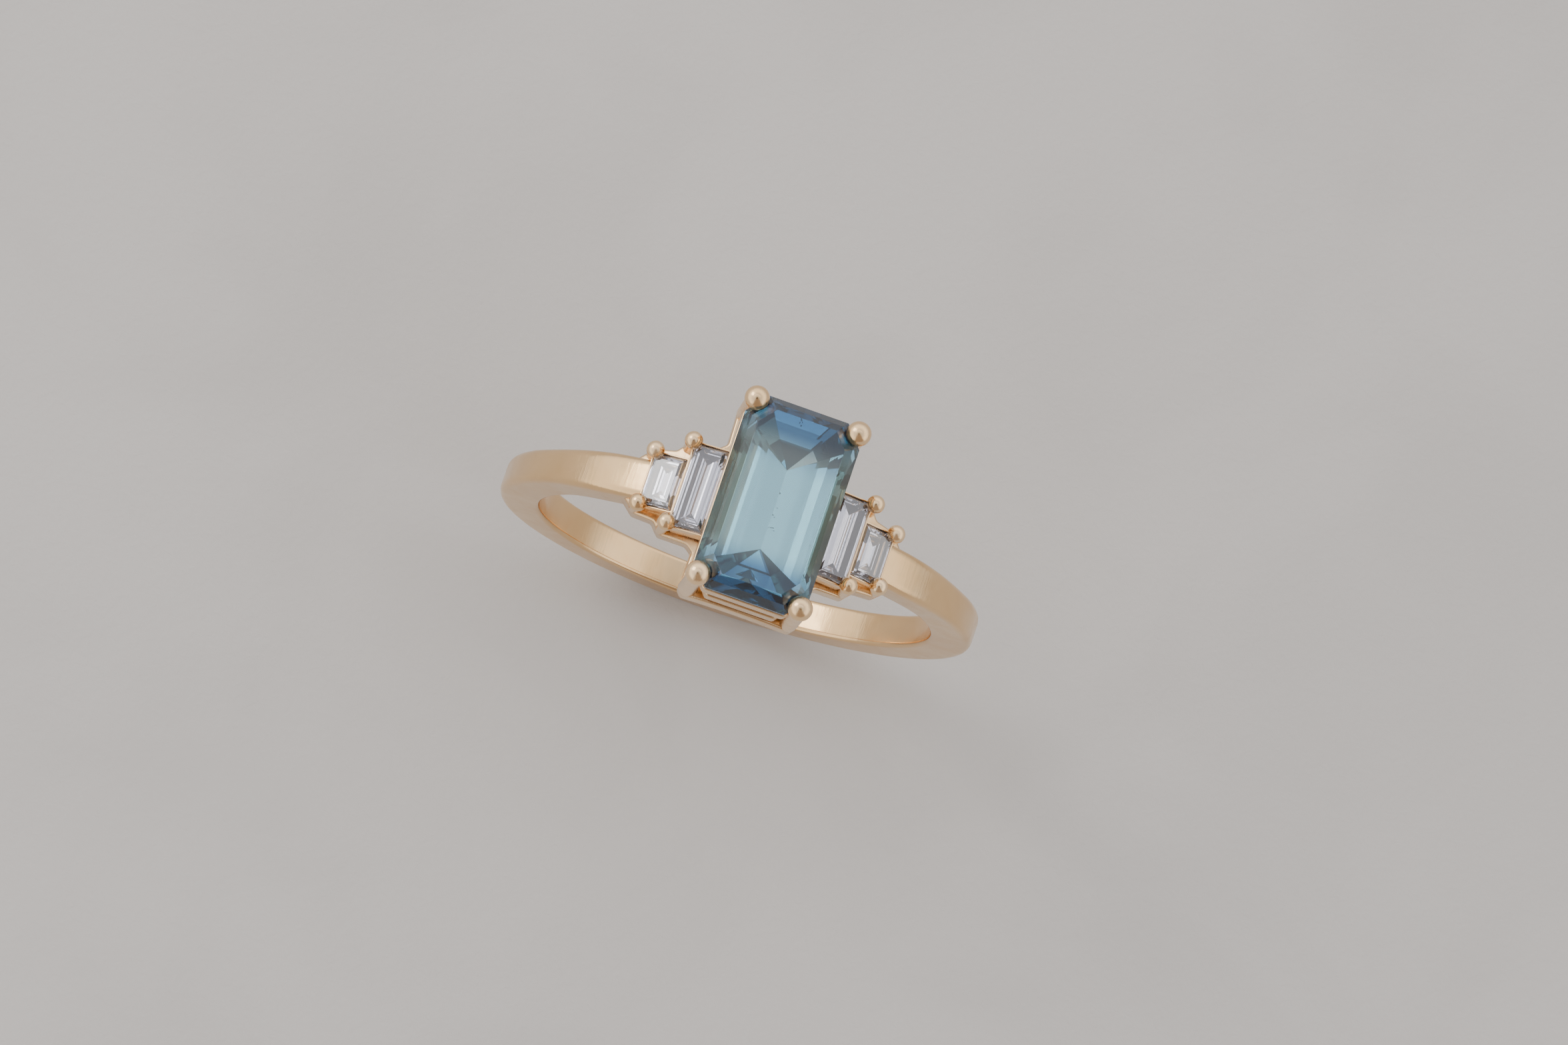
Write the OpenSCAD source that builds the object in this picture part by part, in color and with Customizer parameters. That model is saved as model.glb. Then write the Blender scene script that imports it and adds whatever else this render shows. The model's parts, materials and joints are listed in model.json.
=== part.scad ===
// Three-step engagement ring: an elongated step-cut sapphire in four ball claws, with an
// inner and an outer baguette diamond stepping down on each shoulder of a plain gold shank.
// The finger hole runs along Y, the stones spread along X, and the head points up (+Z).
// The origin is the centre of the finger hole.

/* [Shank] */
// Diameter of the finger hole
finger_d = 16.5; // [16.1:0.1:16.9]
// Thickness of the shank, from the finger to its flat outer face
shank_t = 1.7; // [1.6:0.05:1.8]
// Width of the shank around the back of the finger
shank_w = 1.4; // [1.3:0.05:1.6]
// Width of the shank at the shoulders, beside the outer baguettes
shoulder_w = 1.66; // [1.6:0.02:1.7]
// Radius of the softened outer edges
edge_r = 0.28; // [0.2:0.02:0.34]

/* [Sapphire] */
// Length of the centre stone, along the finger
sapphire_l = 7.9; // [7.8:0.05:8]
// Width of the centre stone
sapphire_w = 4.65; // [4.6:0.05:4.7]
// Cut corner, measured along the short end
corner_x = 0.72; // [0.6:0.02:0.8]
// Cut corner, measured along the long side
corner_y = 0.86; // [0.7:0.02:0.9]
// Height of the crown, from girdle to table
sapphire_crown = 0.72; // [0.6:0.02:0.8]
// Depth of the pavilion, from girdle to keel
sapphire_pavilion = 2.4; // [2.2:0.05:2.45]
// Height of the girdle above the centre of the finger hole
girdle_z = 12.2; // [12.2:0.05:12.4]

/* [Claws] */
// Diameter of a corner claw's wire
claw_d = 0.76; // [0.7:0.02:0.8]
// Diameter of the ball on a corner claw
claw_ball_d = 0.98; // [0.9:0.02:1.04]
// Distance of a corner claw from the ring's middle plane, across the finger
claw_x = 2.07; // [2.05:0.01:2.1]
// Distance of a corner claw from the ring's middle plane, along the finger
claw_y = 3.6; // [3.58:0.01:3.62]

/* [Head rails] */
// Height of each of the two rails that tie the claws together
rail_h = 0.72; // [0.6:0.02:0.76]
// Open slit between the two rails
rail_slit = 0.36; // [0.3:0.02:0.4]
// Width of a rail, seen from above
rail_w = 0.42; // [0.36:0.02:0.46]

/* [Baguettes] */
// Length of the inner baguettes
inner_l = 3.36; // [3.3:0.02:3.4]
// Width of the inner baguettes
inner_w = 1.38; // [1.34:0.02:1.4]
// Outward lean of the inner baguettes, in degrees
inner_tilt = 16; // [15:1:17]
// Length of the outer baguettes
outer_l = 2.06; // [2:0.02:2.08]
// Width of the outer baguettes
outer_w = 1.38; // [1.34:0.02:1.4]
// Outward lean of the outer baguettes, in degrees
outer_tilt = 25; // [24:1:26]
// Height of a baguette's crown
baguette_crown = 0.2; // [0.16:0.01:0.22]
// Depth of a baguette's pavilion
baguette_pavilion = 0.64; // [0.56:0.01:0.65]
// Wall of the open collets that the baguettes sit in
collet_wall = 0.07; // [0.06:0.01:0.08]

/* [Bead prongs] */
// Diameter of a side prong's wire
prong_d = 0.46; // [0.4:0.02:0.48]
// Diameter of the bead on a side prong
bead_d = 0.72; // [0.66:0.02:0.74]

/* [Gallery] */
// Radius of the gallery rails' inner face, around the finger
gallery_in_r = 8.7; // [8.6:0.05:8.8]
// Radius of the gallery rails' outer face
gallery_out_r = 9.5; // [9.4:0.05:9.6]

/* [Hidden] */

finger_r = finger_d / 2;
shank_r = finger_r + shank_t;
inner_edge_r = 0.16;                    // softening of the edges against the finger
head_seat_z = shank_r - 0.4;            // flat filed on the shank under the head
flare_low_z = 4.6;                      // where the shank starts to widen
flare_high_z = 8.1;                     // where it reaches the shoulder width
girdle_t = 0.12;                        // thickness of the sapphire's girdle
gallery_span = 12;                      // length of the cylinders that shape the gallery
baguette_girdle_t = 0.05;

// Steps of a step cut: [share of the half width that is cut away, share of the height].
sapphire_crown_steps = [[0.25, 1], [0.12, 0.56]];
sapphire_pavilion_steps = [[0.4, 0.45], [0.58, 0.641]];
baguette_crown_steps = [[0.3, 1], [0.13, 0.6]];
baguette_pavilion_steps = [[0.4, 0.46], [0.7, 0.745]];

claw_ball_z = girdle_z + 0.5;
rail_top_z = girdle_z - 0.26;
base_rail_top_z = rail_top_z - rail_h - rail_slit;
rail_half_y = sapphire_l / 2 + 0.03;
rail_half_x = sapphire_w / 2 + 0.03;
base_rail_half_x = rail_half_x - 0.25;  // drawn in to clear the inner collets

inner_x = 2.93;                         // centre of the inner baguettes' girdles
inner_z = 10.24;
outer_x = 4.28;                         // centre of the outer baguettes' girdles
outer_z = 9.19;
baguette_nick = 0.04;                   // tiny corner facet of a baguette
collet_end_wall = collet_wall + 0.03;
inner_collet_h = 0.86;
outer_collet_h = 0.7;
collet_ledge = 0.16;                    // how far a collet reaches under its stone

inner_bead = [3.73, 1.69, 10.44];       // centre of the bead, on the +X +Y side
outer_bead = [4.95, 1.09, 9.22];

gold = [0.87, 0.70, 0.42];
diamond = [0.90, 0.91, 0.95];
sapphire_blue = [0.22, 0.52, 0.62];

// Outline of the south gallery rail seen from above, on the +X half.
// It follows the head's side and then turns out under the ends of the baguettes.
gallery_outer = [
    [2.2, 3.97], [2.4, 3.74], [2.36, 2.25], [2.64, 2.02], [3.76, 1.94], [4.14, 1.48], [4.94, 1.36],
    [5.5, 0.78]
];
gallery_inner = [
    [4.8, 0.78], [4.6, 0.9], [3.7, 1.1], [1.9, 1.46], [1.62, 1.8], [1.62, 3.28]
];

// Points moved to the left (side -1) or right (1) and to the south (end -1) or north (1).
function mirrored(points, side, end) = [
    for (p = points)
        [for (i = [0:len(p) - 1]) p[i] * [side, end, 1][i]]
];
function reversed(points) = [for (i = [len(points) - 1:-1:0]) points[i]];

// A cylinder around the finger, along Y.
module across(r, l) {
    rotate([90, 0, 0]) cylinder(h = l, r = r, center = true, $fn = 180);
}

// A rectangle with cut corners, flat in plan.
module cut_corner_plate(half_x, half_y, cut_x, cut_y) {
    polygon([
        for (q = [[1, -1], [1, 1], [-1, 1], [-1, -1]])
            for (first = (q[0] * q[1] < 0) ? [false, true] : [true, false])
                first ? [q[0] * half_x, q[1] * (half_y - cut_y)]
                      : [q[0] * (half_x - cut_x), q[1] * half_y]
    ]);
}

// The eight corners of one step, inset from the girdle by a share of the half width.
function step_ring(half_x, half_y, cut_x, cut_y, share, z) =
    let (
        inset = share * half_x,
        x = half_x - inset,
        y = half_y - inset,
        cx = cut_x * (1 - share),
        cy = cut_y * (1 - share)
    )
    [
        [x, -(y - cy), z], [x, y - cy, z], [x - cx, y, z], [-(x - cx), y, z],
        [-x, y - cy, z], [-x, -(y - cy), z], [-(x - cx), -y, z], [x - cx, -y, z]
    ];

// A step-cut stone with its girdle at z = 0 and a keel along its length.
module step_cut(l, w, cut_x, cut_y, crown_h, pavilion_h, rim, crown_steps, pavilion_steps) {
    hx = w / 2;
    hy = l / 2;
    levels = concat(
        [for (s = crown_steps) [s[0], rim / 2 + s[1] * crown_h]],
        [[0, rim / 2], [0, -rim / 2]],
        [for (s = pavilion_steps) [s[0], -rim / 2 - s[1] * pavilion_h]]
    );
    rings = [for (v = levels) each step_ring(hx, hy, cut_x, cut_y, v[0], v[1])];
    keel_z = -rim / 2 - pavilion_h;
    keel = [[0, hy - hx, keel_z], [0, -(hy - hx), keel_z]];
    last = 8 * (len(levels) - 1);
    north = 8 * len(levels);
    south = north + 1;
    table = [[for (i = [7:-1:0]) i]];
    walls = [
        for (r = [0:len(levels) - 2])
            for (i = [0:7])
                let (j = (i + 1) % 8)
                [8 * r + i, 8 * r + j, 8 * (r + 1) + j, 8 * (r + 1) + i]
    ];
    keel_walls = [
        [last, last + 1, north, south],
        [last + 1, last + 2, north],
        [last + 2, last + 3, north],
        [last + 3, last + 4, north],
        [last + 4, last + 5, south, north],
        [last + 5, last + 6, south],
        [last + 6, last + 7, south],
        [last + 7, last, south]
    ];
    polyhedron(points = concat(rings, keel), faces = concat(table, walls, keel_walls));
}

module sapphire_solid() {
    translate([0, 0, girdle_z])
        step_cut(sapphire_l, sapphire_w, corner_x, corner_y, sapphire_crown, sapphire_pavilion,
                 girdle_t, sapphire_crown_steps, sapphire_pavilion_steps);
}

module baguette_solid(l, w) {
    step_cut(l, w, baguette_nick, baguette_nick, baguette_crown, baguette_pavilion,
             baguette_girdle_t, baguette_crown_steps, baguette_pavilion_steps);
}

// Places a child on a shoulder: side is -1 for left and 1 for right.
module on_inner_seat(side) {
    translate([side * inner_x, 0, inner_z]) rotate([0, side * inner_tilt, 0]) children();
}

module on_outer_seat(side) {
    translate([side * outer_x, 0, outer_z]) rotate([0, side * outer_tilt, 0]) children();
}

// The full block of a collet, before it is hollowed.
module collet_block(l, w, h) {
    translate([0, 0, -h / 2])
        cube([w + 2 * collet_wall, l + 2 * collet_end_wall, h], center = true);
}

// The open hole under a baguette.
module collet_hole(l, w, h) {
    cube([w - 2 * collet_ledge, l - 2 * collet_ledge, 3 * h], center = true);
}

// A side prong before it is fitted: an upright wire with a bead on top, for one corner.
module plain_prong(place, side, end) {
    bead = mirrored([place], side, end)[0];
    translate([bead[0], bead[1], 0]) cylinder(h = bead[2], d = prong_d, $fn = 48);
    translate(bead) sphere(d = bead_d, $fn = 56);
}

// The wire of a corner claw, upright from the finger hole's middle to the ball.
module claw_wire(side, end) {
    translate([side * claw_x, end * claw_y, 0]) cylinder(h = claw_ball_z, d = claw_d, $fn = 64);
}

module all_claw_wires() {
    for (side = [-1, 1])
        for (end = [-1, 1])
            claw_wire(side, end);
}

// Section of the shank, standing on the finger radius: soft outer edges, eased inner ones.
module shank_section(w) {
    outer_y = w / 2 - edge_r;
    inner_y = w / 2 - inner_edge_r;
    translate([finger_r, 0]) {
        translate([0, -inner_y]) square([shank_t - edge_r, 2 * inner_y]);
        translate([inner_edge_r, -w / 2]) square([shank_t - inner_edge_r - edge_r, w]);
        translate([shank_t - 2 * edge_r, -outer_y]) square([2 * edge_r, 2 * outer_y]);
        for (s = [-1, 1]) {
            translate([shank_t - edge_r, s * outer_y]) circle(r = edge_r, $fn = 40);
            translate([inner_edge_r, s * inner_y]) circle(r = inner_edge_r, $fn = 32);
        }
    }
}

module shank_ring(w) {
    rotate([90, 0, 0]) rotate_extrude($fn = 180) shank_section(w);
}

// Prism that lets the wide shoulders out of the narrower shank.
module flare_limits() {
    low = shank_w / 2 - edge_r;
    high = shoulder_w / 2 + 0.1;
    rotate([90, 0, 90])
        linear_extrude(height = 3 * shank_r, center = true)
            polygon([
                [-low, flare_low_z], [low, flare_low_z], [shoulder_w / 2, flare_high_z],
                [high, flare_high_z + 0.4], [high, shank_r + 1],
                [-high, shank_r + 1], [-high, flare_high_z + 0.4], [-shoulder_w / 2, flare_high_z]
            ]);
}

// The shank before the outer collets are let into it.
module plain_shank() {
    difference() {
        union() {
            shank_ring(shank_w);
            intersection() {
                shank_ring(shoulder_w);
                flare_limits();
            }
        }
        translate([-inner_x, -shoulder_w, head_seat_z]) cube([2 * inner_x, 2 * shoulder_w, 2]);
    }
}

module shank() {
    color(gold)
        difference() {
            plain_shank();
            for (side = [-1, 1])
                on_outer_seat(side) collet_block(outer_l, outer_w, outer_collet_h);
        }
}

// Curved rail beside the head that carries the claws and prongs: end is -1 south, 1 north.
module gallery(end) {
    color(gold)
        difference() {
            intersection() {
                linear_extrude(height = shank_r)
                    polygon(concat(
                        mirrored(gallery_outer, 1, end),
                        mirrored(gallery_inner, 1, end),
                        reversed(mirrored(gallery_inner, -1, end)),
                        reversed(mirrored(gallery_outer, -1, end))
                    ));
                difference() {
                    across(gallery_out_r, gallery_span);
                    across(gallery_in_r, gallery_span + 1);
                }
            }
            plain_shank();
            for (side = [-1, 1])
                on_outer_seat(side) collet_block(outer_l, outer_w, outer_collet_h);
        }
}

// A rectangular rail with cut corners, tied between the four claws.
module rail(half_x, top_z) {
    difference() {
        translate([0, 0, top_z - rail_h])
            linear_extrude(height = rail_h)
                difference() {
                    cut_corner_plate(half_x, rail_half_y, corner_x, corner_y);
                    cut_corner_plate(half_x - rail_w, rail_half_y - rail_w, corner_x, corner_y);
                }
        all_claw_wires();
        sapphire_solid();
    }
}

module head_rail() {
    color(gold) rail(rail_half_x, rail_top_z);
}

module base_rail() {
    color(gold) rail(base_rail_half_x, base_rail_top_z);
}

// A corner claw: a wire standing on the gallery, with a ball that holds the girdle.
module claw(side, end) {
    color(gold)
        difference() {
            union() {
                claw_wire(side, end);
                translate([side * claw_x, end * claw_y, claw_ball_z])
                    sphere(d = claw_ball_d, $fn = 64);
            }
            across(gallery_out_r, gallery_span);
            sapphire_solid();
        }
}

module sapphire() {
    color(sapphire_blue) sapphire_solid();
}

module inner_collet(side) {
    color(gold)
        difference() {
            on_inner_seat(side)
                difference() {
                    collet_block(inner_l, inner_w, inner_collet_h);
                    collet_hole(inner_l, inner_w, inner_collet_h);
                    baguette_solid(inner_l, inner_w);
                }
            on_outer_seat(side) {
                collet_block(outer_l, outer_w, outer_collet_h);
                baguette_solid(outer_l, outer_w);
            }
            plain_shank();
            base_rail();
            for (end = [-1, 1])
                plain_prong(inner_bead, side, end);
        }
}

module outer_collet(side) {
    color(gold)
        difference() {
            on_outer_seat(side)
                difference() {
                    collet_block(outer_l, outer_w, outer_collet_h);
                    collet_hole(outer_l, outer_w, outer_collet_h);
                    baguette_solid(outer_l, outer_w);
                }
            for (end = [-1, 1])
                plain_prong(outer_bead, side, end);
        }
}

module inner_baguette(side) {
    color(diamond) on_inner_seat(side) baguette_solid(inner_l, inner_w);
}

module outer_baguette(side) {
    color(diamond) on_outer_seat(side) baguette_solid(outer_l, outer_w);
}

// A side prong, standing on the gallery, with its bead over the corner of the baguette that
// is given as its child.
module prong(place, side, end) {
    color(gold)
        difference() {
            plain_prong(place, side, end);
            across(gallery_out_r, gallery_span);
            children();
        }
}

module inner_prong(side, end) {
    prong(inner_bead, side, end) inner_baguette(side);
}

module outer_prong(side, end) {
    prong(outer_bead, side, end) outer_baguette(side);
}

shank();
gallery(1);  // gallery_north
gallery(-1);  // gallery_south
head_rail();
base_rail();
claw(-1, 1);  // claw_nw
claw(1, 1);  // claw_ne
claw(-1, -1);  // claw_sw
claw(1, -1);  // claw_se
sapphire();
inner_collet(-1);  // left_inner_collet
outer_collet(-1);  // left_outer_collet
inner_collet(1);  // right_inner_collet
outer_collet(1);  // right_outer_collet
inner_baguette(-1);  // left_inner_baguette
outer_baguette(-1);  // left_outer_baguette
inner_baguette(1);  // right_inner_baguette
outer_baguette(1);  // right_outer_baguette
inner_prong(-1, 1);  // left_inner_prong_n
inner_prong(-1, -1);  // left_inner_prong_s
outer_prong(-1, 1);  // left_outer_prong_n
outer_prong(-1, -1);  // left_outer_prong_s
inner_prong(1, 1);  // right_inner_prong_n
inner_prong(1, -1);  // right_inner_prong_s
outer_prong(1, 1);  // right_outer_prong_n
outer_prong(1, -1);  // right_outer_prong_s
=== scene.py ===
"""Engagement ring: finished gold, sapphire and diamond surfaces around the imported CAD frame."""

import json
import logging
import math
from dataclasses import dataclass
from enum import Enum
from typing import Callable

import bpy
import numpy as np
from mathutils import Matrix, Vector


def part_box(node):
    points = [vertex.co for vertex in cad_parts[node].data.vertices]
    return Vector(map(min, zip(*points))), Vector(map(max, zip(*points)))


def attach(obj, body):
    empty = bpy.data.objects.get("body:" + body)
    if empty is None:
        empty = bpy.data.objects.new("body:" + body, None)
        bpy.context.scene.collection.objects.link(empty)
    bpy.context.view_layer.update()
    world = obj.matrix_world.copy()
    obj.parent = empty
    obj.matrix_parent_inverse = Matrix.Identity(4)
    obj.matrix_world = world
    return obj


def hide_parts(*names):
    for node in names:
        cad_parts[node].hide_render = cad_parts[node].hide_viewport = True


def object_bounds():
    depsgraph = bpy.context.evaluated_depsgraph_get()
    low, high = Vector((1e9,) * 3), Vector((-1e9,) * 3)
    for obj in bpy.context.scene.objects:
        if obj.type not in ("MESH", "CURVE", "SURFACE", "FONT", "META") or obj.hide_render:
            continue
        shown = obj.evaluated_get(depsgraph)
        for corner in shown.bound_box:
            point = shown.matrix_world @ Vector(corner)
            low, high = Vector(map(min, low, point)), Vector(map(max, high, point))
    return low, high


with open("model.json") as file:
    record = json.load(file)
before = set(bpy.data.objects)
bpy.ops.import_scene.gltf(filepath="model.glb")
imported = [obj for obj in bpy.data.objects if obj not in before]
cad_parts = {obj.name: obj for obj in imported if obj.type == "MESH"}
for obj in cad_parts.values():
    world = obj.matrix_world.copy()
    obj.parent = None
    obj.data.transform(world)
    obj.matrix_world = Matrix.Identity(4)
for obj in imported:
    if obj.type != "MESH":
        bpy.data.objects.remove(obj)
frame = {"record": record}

CAD_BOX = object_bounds()
MM = 0.001
Array = np.ndarray
Colour = tuple[float, float, float]
Span = tuple[float, float]
Steps = tuple[Span, ...]
Node = bpy.types.Node
Socket = bpy.types.NodeSocket
Sockets = bpy.types.bpy_prop_collection
Material = bpy.types.Material

# How far metal stands off a stone that it touches, in millimetres.
SEAT_GAP = 0.004
# The share of half width taken off and the share of height, for each step of a cut.
SAPPHIRE_CUT = {
    "crown_steps": ((0.25, 1.0), (0.12, 0.56)),
    "pavilion_steps": ((0.4, 0.45), (0.58, 0.641)),
}
BAGUETTE_CUT = {
    "crown_steps": ((0.3, 1.0), (0.13, 0.6)),
    "pavilion_steps": ((0.4, 0.46), (0.7, 0.745)),
}
# Each baguette's name, its lean in degrees and its collet's height.
BAGUETTE_STEPS = (("inner", 16.0, 0.86), ("outer", 25.0, 0.7))
CLAW_BALL, CLAW_WIRE = 0.98, 0.76
BEAD_BALL, BEAD_WIRE = 0.72, 0.46
# Buffing marks: their stretch along each axis, their share beside an even grain, and how much
# finer the grain is.
MARKS_STRETCH, MARKS_SHARE, GRAIN_FINER = (1.0, 0.12, 1.0), 0.7, 2.6
# Where a stone's darker end tint, partly body colour and partly painted shade, fades in, as a share
# of the half length, and where its rim of painted shade fades out, as a share of the rim's width.
END_ZONE_FADE, RIM_FADE = (0.44, 0.74), (1.03, 0.97)

log = logging.getLogger("ring")


# ---- surfaces


@dataclass
class Surface:
    """A bare surface in millimetres: its points, and faces as rows of point numbers."""

    points: Array
    faces: list[list[int]]

    def joined(self, other: "Surface") -> "Surface":
        """Return this surface and another as one."""
        moved = [[len(self.points) + i for i in face] for face in other.faces]
        return Surface(np.vstack([self.points, other.points]), self.faces + moved)

    def outward(self) -> "Surface":
        """Turn every face outwards.

        The signed volume is the sum over fan triangles of the triple product of the corners,
        divided by six. A negative sum means that the faces point inwards.

        Returns:
            The same surface, with its faces reversed if they pointed inwards.
        """
        corners = np.array(
            [[f[0], f[i], f[i + 1]] for f in self.faces for i in range(1, len(f) - 1)]
        )
        a, b, c = (self.points[corners[:, i]] for i in range(3))
        volume = np.einsum("ij,ij->", a, np.cross(b, c)) / 6
        if volume < 0:
            self.faces = [face[::-1] for face in self.faces]
        return self

    def clear_of(self, planes: tuple[Array, Array]) -> "Surface":
        """Press this metal surface flat against a stone where the two would overlap.

        A point is inside the stone when it is behind every facet. Such a point moves along the
        normal of the facet that it is least deep behind, until it stands a gap in front of it.

        Args:
            planes: The stone's facet normals and offsets.

        Returns:
            The same surface, with those points moved.
        """
        normals, offsets = planes
        depth = self.points @ normals.T - offsets - SEAT_GAP
        nearest = depth.argmax(axis=1)
        behind = np.minimum(depth[np.arange(len(self.points)), nearest], 0)
        self.points = self.points - behind[:, None] * normals[nearest]
        return self


def lattice(rows: int, columns: int, wrap_rows: bool) -> list[list[int]]:
    """Number the four-sided faces of a grid whose columns wrap round.

    Args:
        rows: How many rings of points there are.
        columns: How many points each ring has.
        wrap_rows: Whether the last ring joins the first.

    Returns:
        One list of four point numbers for each face.
    """
    r = np.arange(rows if wrap_rows else rows - 1)[:, None]
    c = np.arange(columns)[None, :]
    beside = (c + 1) % columns
    here, below = r * columns, (r + 1) % rows * columns
    quads = np.stack([here + c, here + beside, below + beside, below + c], axis=-1)
    return quads.reshape(-1, 4).tolist()


def ring_tube(rings: Array, closed: bool) -> Surface:
    """Skin a row of closed rings.

    Args:
        rings: Points as (ring, place round the ring, xyz).
        closed: True if the last ring joins the first, otherwise both ends get a fan of
            triangles round the end ring's middle point.

    Returns:
        The closed surface.
    """
    rows, columns, _ = rings.shape
    points = rings.reshape(-1, 3)
    faces = lattice(rows, columns, closed)
    if not closed:
        middles = np.stack([rings[0].mean(axis=0), rings[-1].mean(axis=0)])
        here = np.arange(columns)
        beside = (here + 1) % columns
        last = (rows - 1) * columns
        start = np.full(columns, len(points))
        faces += np.stack([beside, here, start], axis=1).tolist()
        faces += np.stack([last + here, last + beside, start + 1], axis=1).tolist()
        points = np.vstack([points, middles])
    return Surface(points, faces).outward()


def softened(corners: Array, reach: Array | float, steps: int) -> Array:
    """Round the corners of closed outlines.

    Each corner is replaced by a quadratic curve that starts on the side before it and ends on
    the side after it, both at the given reach, with the corner as its middle control point.

    Args:
        corners: Outlines as (..., corner, 2).
        reach: Distance from the corner to the curve's ends, one for all or one for each.
        steps: Points on each curve.

    Returns:
        Outlines as (..., corner * steps, 2).
    """
    back = np.roll(corners, 1, axis=-2) - corners
    ahead = np.roll(corners, -1, axis=-2) - corners
    back /= np.linalg.norm(back, axis=-1, keepdims=True)
    ahead /= np.linalg.norm(ahead, axis=-1, keepdims=True)
    reach = np.broadcast_to(np.asarray(reach, dtype=float), corners.shape[:-1])[..., None]
    start = (corners + back * reach)[..., None, :]
    end = (corners + ahead * reach)[..., None, :]
    t = np.linspace(0, 1, steps)[:, None]
    curve = (1 - t) ** 2 * start + 2 * t * (1 - t) * corners[..., None, :] + t**2 * end
    return curve.reshape(*corners.shape[:-2], -1, 2)


def smooth_step(value: Array, low: float, high: float) -> Array:
    """Rise from 0 at low to 1 at high as 3 t squared minus 2 t cubed."""
    t = np.clip((value - low) / (high - low), 0, 1)
    return t * t * (3 - 2 * t)


def node_span(node: str) -> Array:
    """Return the size of a CAD node's box, in millimetres."""
    low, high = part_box(node)
    return (np.array(high) - np.array(low)) / MM


def cut_corner_points(x: Array | float, y: Array | float, cx: float, cy: float) -> list[tuple]:
    """Return the eight corners of a rectangle whose corners are cut off.

    Args:
        x: Half the rectangle's width.
        y: Half its length.
        cx: How much of the width each corner loses.
        cy: How much of the length each corner loses.

    Returns:
        Eight pairs of x and y, counted round from the east side.
    """
    return [
        (x, cy - y), (x, y - cy), (x - cx, y), (cx - x, y),
        (-x, y - cy), (-x, cy - y), (cx - x, -y), (x - cx, -y),
    ]


def corner_rows(first: tuple[Array, ...], second: tuple[Array, ...]) -> Array:
    """Return corners as (row, corner, 2) from the two coordinates of every corner."""
    return np.stack([np.stack(first, axis=1), np.stack(second, axis=1)], axis=-1)


def framed(outline: Array, section: Array) -> Surface:
    """Skin a frame whose rings stand at the heights of its section's points."""
    height = np.broadcast_to(section[:, 1][:, None, None], (*outline.shape[:2], 1))
    return ring_tube(np.concatenate([outline, height], axis=-1), closed=True)


# ---- node groups


@dataclass(frozen=True)
class NodeSheet:
    """A node tree with short ways to add and join nodes."""

    tree: bpy.types.NodeTree

    def feed(self, socket: Socket, value: object) -> None:
        """Link an input to a socket, or give it a value.

        Args:
            socket: The input.
            value: A socket, or the input's own kind of value, with three numbers for a colour.
        """
        if isinstance(value, Socket):
            self.tree.links.new(value, socket)
        else:
            socket.default_value = (*value, 1) if socket.type == "RGBA" else value

    def set(self, node: Node, **settings: object) -> Node:
        """Set up a node.

        Args:
            node: The node.
            settings: Properties to set, and inputs to feed. An input's key is "in_" and its
                name, with underscores for spaces.

        Returns:
            The same node.
        """
        for key, value in settings.items():
            if key.startswith("in_"):
                self.feed(node.inputs[key[3:].replace("_", " ")], value)
            else:
                setattr(node, key, value)
        return node

    def add(self, kind: str, **settings: object) -> Node:
        """Add a node of a kind and set it up."""
        return self.set(self.tree.nodes.new(kind), **settings)

    def math(self, operation: str, first: object, second: object = 0.0) -> Socket:
        """Add a Math node.

        Args:
            operation: What it does.
            first: Its first input, a socket or a number.
            second: Its second input, a socket or a number.

        Returns:
            Its output.
        """
        node = self.add("ShaderNodeMath", operation=operation)
        self.feed(node.inputs[0], first)
        self.feed(node.inputs[1], second)
        return node.outputs[0]

    def ramp(self, value: Socket, low: float, high: float) -> Socket:
        """Map a value along a smooth step, from 0 at low to 1 at high."""
        return self.add(
            "ShaderNodeMapRange", interpolation_type="SMOOTHSTEP",
            in_Value=value, in_From_Min=low, in_From_Max=high,
        ).outputs["Result"]

    def blend(self, factor: Socket, first: object, second: object) -> Socket:
        """Mix two colours.

        Args:
            factor: The second colour's share.
            first: The first colour, a socket or an RGB triple.
            second: The second colour, a socket or an RGB triple.

        Returns:
            The mixed colour.
        """
        node = self.add("ShaderNodeMix", data_type="RGBA", in_Factor=factor)
        for socket, value in zip([s for s in node.inputs if s.type == "RGBA"], (first, second)):
            self.feed(socket, value)
        return next(s for s in node.outputs if s.type == "RGBA")

    def group(self, tree: bpy.types.NodeTree, **settings: object) -> Sockets:
        """Put a shared group into this tree, set it up and return its outputs."""
        return self.add("ShaderNodeGroup", node_tree=tree, **settings).outputs

    def bump(self, height: Socket, strength: float, depth: float) -> Socket:
        """Return a normal that is bent by a height."""
        return self.add(
            "ShaderNodeBump", in_Strength=strength, in_Distance=depth, in_Height=height
        ).outputs["Normal"]


def shader_group(
    name: str,
    inputs: dict[str, float],
    outputs: tuple[str, ...],
    build: Callable[[NodeSheet, Sockets, Node], None],
) -> bpy.types.NodeTree:
    """Build a shader node group whose named sockets are all numbers.

    Args:
        name: The group's name.
        inputs: Input sockets and their default values.
        outputs: Names of the output sockets.
        build: Draws the nodes, given the sheet, the input sockets and the Group Output node.

    Returns:
        The finished node tree.
    """
    tree = bpy.data.node_groups.new(name, "ShaderNodeTree")
    number = "NodeSocketFloat"
    for label, default in inputs.items():
        socket = tree.interface.new_socket(name=label, in_out="INPUT", socket_type=number)
        socket.default_value = default
    for label in outputs:
        tree.interface.new_socket(name=label, in_out="OUTPUT", socket_type=number)
    sheet = NodeSheet(tree)
    build(sheet, sheet.add("NodeGroupInput").outputs, sheet.add("NodeGroupOutput"))
    return tree


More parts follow.
